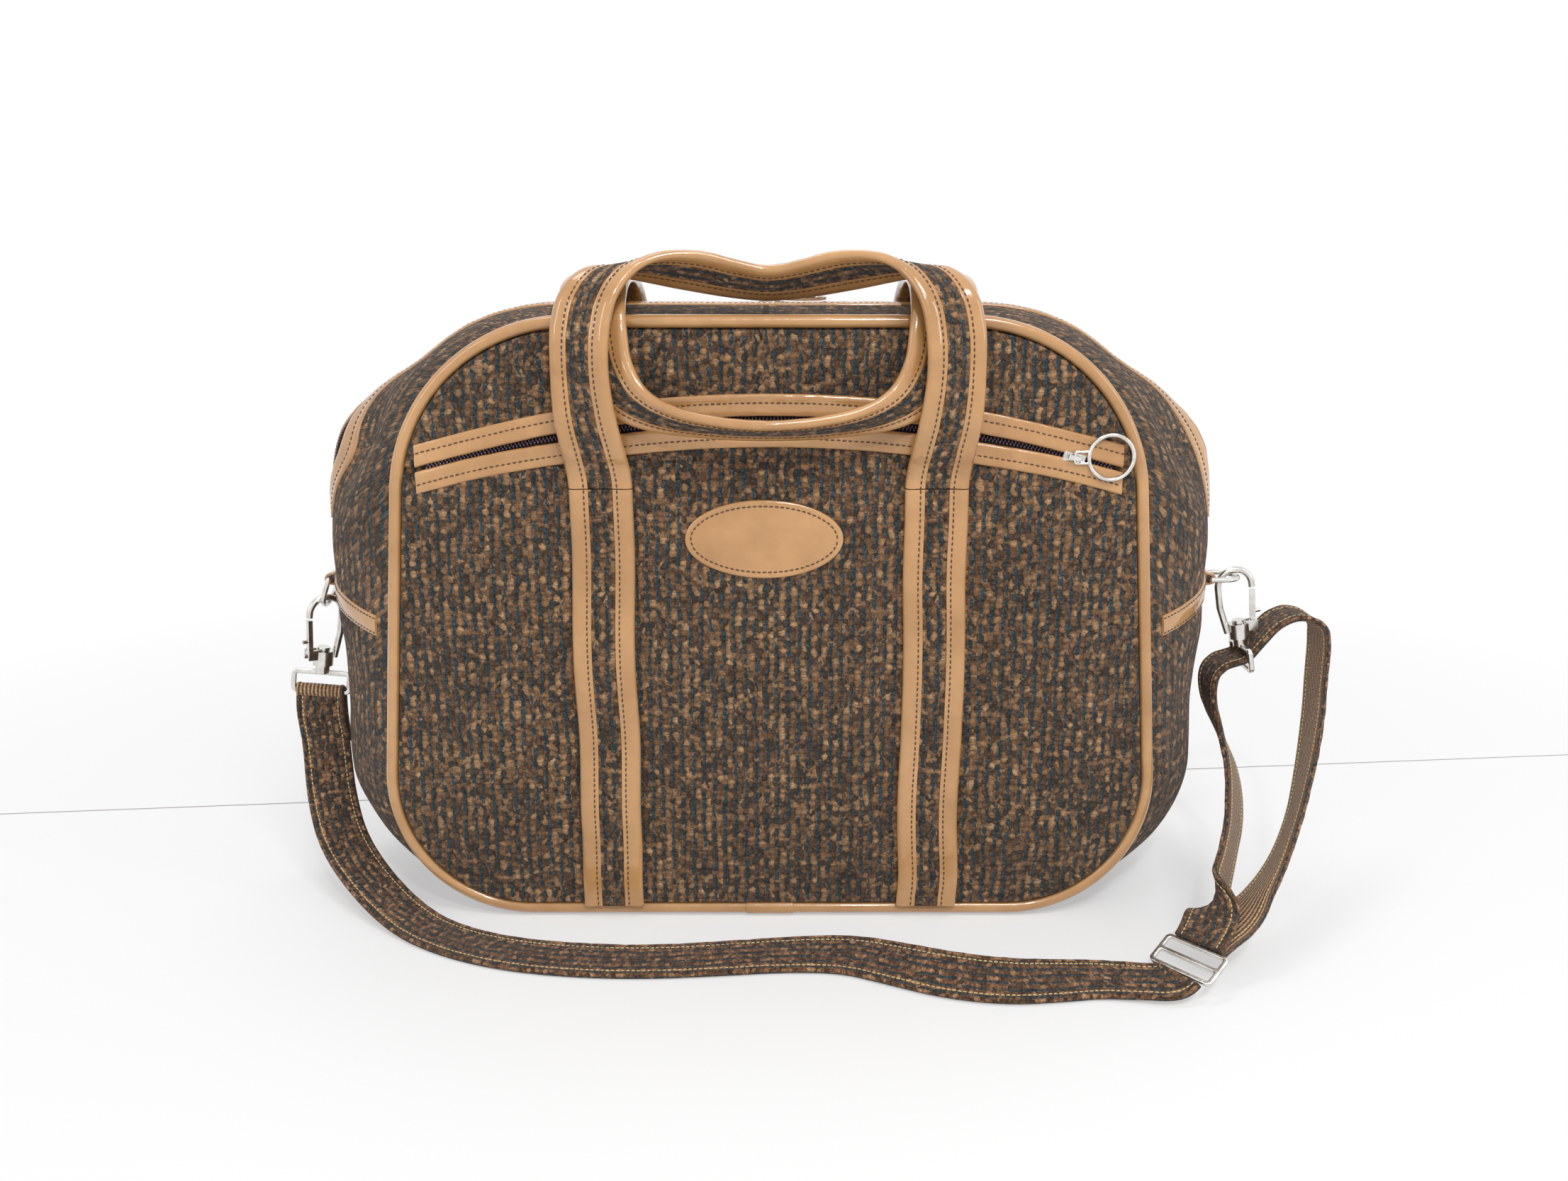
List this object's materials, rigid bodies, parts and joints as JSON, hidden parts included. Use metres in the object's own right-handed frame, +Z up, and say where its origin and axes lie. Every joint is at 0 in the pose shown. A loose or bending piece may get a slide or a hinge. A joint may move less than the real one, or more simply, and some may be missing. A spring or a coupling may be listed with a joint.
{
  "type": "soft carry-on bag",
  "caption": "Soft tweed carry-on bag with a zip over the top, a zipped front pocket, two carrying handles and a clip-on shoulder strap.",
  "frame": {"origin": "middle of the base of the bag's box on the floor, measured without the shoulder strap", "axes": "+Z up, the front pocket faces -Y, +X to the right seen from the front"},
  "size_m": [0.6175, 0.2664, 0.3693],
  "materials": {
    "tweed": "basket-checked tweed",
    "vinyl": "glossy grained tan",
    "lining": "dark woven nylon",
    "board": "matte",
    "zip_tape": "woven tape",
    "zip_coil": "satin",
    "nickel": "polished nickel",
    "webbing": "tweed on ribbed webbing"
  },
  "bodies": {
    "bag": {"gusset_front": "tweed", "gusset_back": "tweed", "gusset_base": "tweed", "front_panel": "tweed", "back_panel": "tweed", "pocket_panel": "tweed", "front_yoke": "tweed", "front_left_strap": "tweed", "front_right_strap": "tweed", "back_left_strap": "tweed", "back_right_strap": "tweed", "main_zip_front_binding": "vinyl", "main_zip_back_binding": "vinyl", "front_piping": "vinyl", "back_piping": "vinyl", "front_piping_wrap": "vinyl", "left_ring_band": "vinyl", "right_ring_band": "vinyl", "left_ring_tab": "vinyl", "right_ring_tab": "vinyl", "base_panel": "vinyl", "pocket_upper_binding": "vinyl", "pocket_lower_binding": "vinyl", "oval_patch": "vinyl", "front_left_strap_trim": "vinyl", "front_right_strap_trim": "vinyl", "back_left_strap_trim": "vinyl", "back_right_strap_trim": "vinyl", "lining": "lining", "base_board": "board", "main_zip_front_tape": "zip_tape", "main_zip_back_tape": "zip_tape", "pocket_zip_tapes": "zip_tape", "main_zip_coil": "zip_coil", "pocket_zip_coil": "zip_coil", "left_swivel_loop": "nickel", "right_swivel_loop": "nickel", "strap_slide": "nickel", "shoulder_strap_end": "webbing", "shoulder_strap_run": "webbing", "shoulder_strap_loop": "webbing"},
    "front_handle": {"front_handle": "tweed", "front_handle_trim": "vinyl"},
    "back_handle": {"back_handle": "tweed", "back_handle_trim": "vinyl"},
    "pocket_slider": {"pocket_slider": "nickel"},
    "pocket_pull": {"pocket_ring_pull": "nickel"},
    "main_slider": {"main_slider": "nickel"},
    "main_pull": {"main_ring_pull": "nickel"},
    "left_ring": {"left_d_ring": "nickel"},
    "right_ring": {"right_d_ring": "nickel"},
    "left_hook": {"left_hook": "nickel"},
    "right_hook": {"right_hook": "nickel"},
    "left_gate": {"left_hook_gate": "nickel"},
    "right_gate": {"right_hook_gate": "nickel"}
  },
  "joints": [
    {"name": "front_handle_swing", "type": "hinge", "parent": "bag", "child": "front_handle", "pos_m": [-0.00141, -0.07195, 0.2476], "axis": [1, 0, 0], "range_deg": [0, 150]},
    {"name": "back_handle_swing", "type": "hinge", "parent": "bag", "child": "back_handle", "pos_m": [-0.00141, 0.05045, 0.3137], "axis": [1, 0, 0], "range_deg": [-40.5, 0]},
    {"name": "pocket_zip_travel", "type": "hinge", "parent": "bag", "child": "pocket_slider", "pos_m": [-0.00141, -0.06715, -0.397], "axis": [0, 1, 0], "range_deg": [-27, 0]},
    {"name": "pocket_pull_swing", "type": "hinge", "parent": "pocket_slider", "child": "pocket_pull", "pos_m": [0.15859, -0.0706, 0.26391], "axis": [0.0068, 0, -1], "range_deg": [0, 165]},
    {"name": "main_zip_travel", "type": "slide", "parent": "bag", "child": "main_slider", "axis": [1, 0, 0], "range_m": [-0.1, 0.075]},
    {"name": "main_pull_swing", "type": "hinge", "parent": "main_slider", "child": "main_pull", "pos_m": [-0.00141, -0.01128, 0.34514], "axis": [0, -0.9989, 0.0473], "range_deg": [0, 175]},
    {"name": "left_ring_swing", "type": "hinge", "parent": "bag", "child": "left_ring", "pos_m": [-0.26041, 0.00395, 0.184], "axis": [0, 1, 0], "range_deg": [0, 2.5]},
    {"name": "right_ring_swing", "type": "hinge", "parent": "bag", "child": "right_ring", "pos_m": [0.25759, 0.00395, 0.184], "axis": [0, 1, 0], "range_deg": [0, 40]},
    {"name": "left_hook_swivel", "type": "hinge", "parent": "bag", "child": "left_hook", "pos_m": [-0.27213, 0.00395, 0.12957], "axis": [0.1392, 0, 0.9903], "range_deg": [-20, 0]},
    {"name": "right_hook_swivel", "type": "hinge", "parent": "bag", "child": "right_hook", "pos_m": [0.28054, 0.00395, 0.14651], "axis": [-0.1736, 0, 0.9848], "range_deg": [-25, 25]},
    {"name": "left_gate_swing", "type": "hinge", "parent": "left_hook", "child": "left_gate", "pos_m": [-0.2769, -0.00199, 0.13832], "axis": [-0.7002, 0.7071, 0.0984], "range_deg": [0, 18], "stiffness_Nm_per_rad": 0.02, "springref_deg": -5.73},
    {"name": "right_gate_swing", "type": "hinge", "parent": "right_hook", "child": "right_gate", "pos_m": [0.28742, 0.00395, 0.15585], "axis": [0, -1, 0], "range_deg": [0, 18], "stiffness_Nm_per_rad": 0.02, "springref_deg": -5.73}
  ],
  "couplings": [
    {"joint": "back_handle_swing", "follows": "front_handle_swing", "ratio": -0.27}
  ]
}
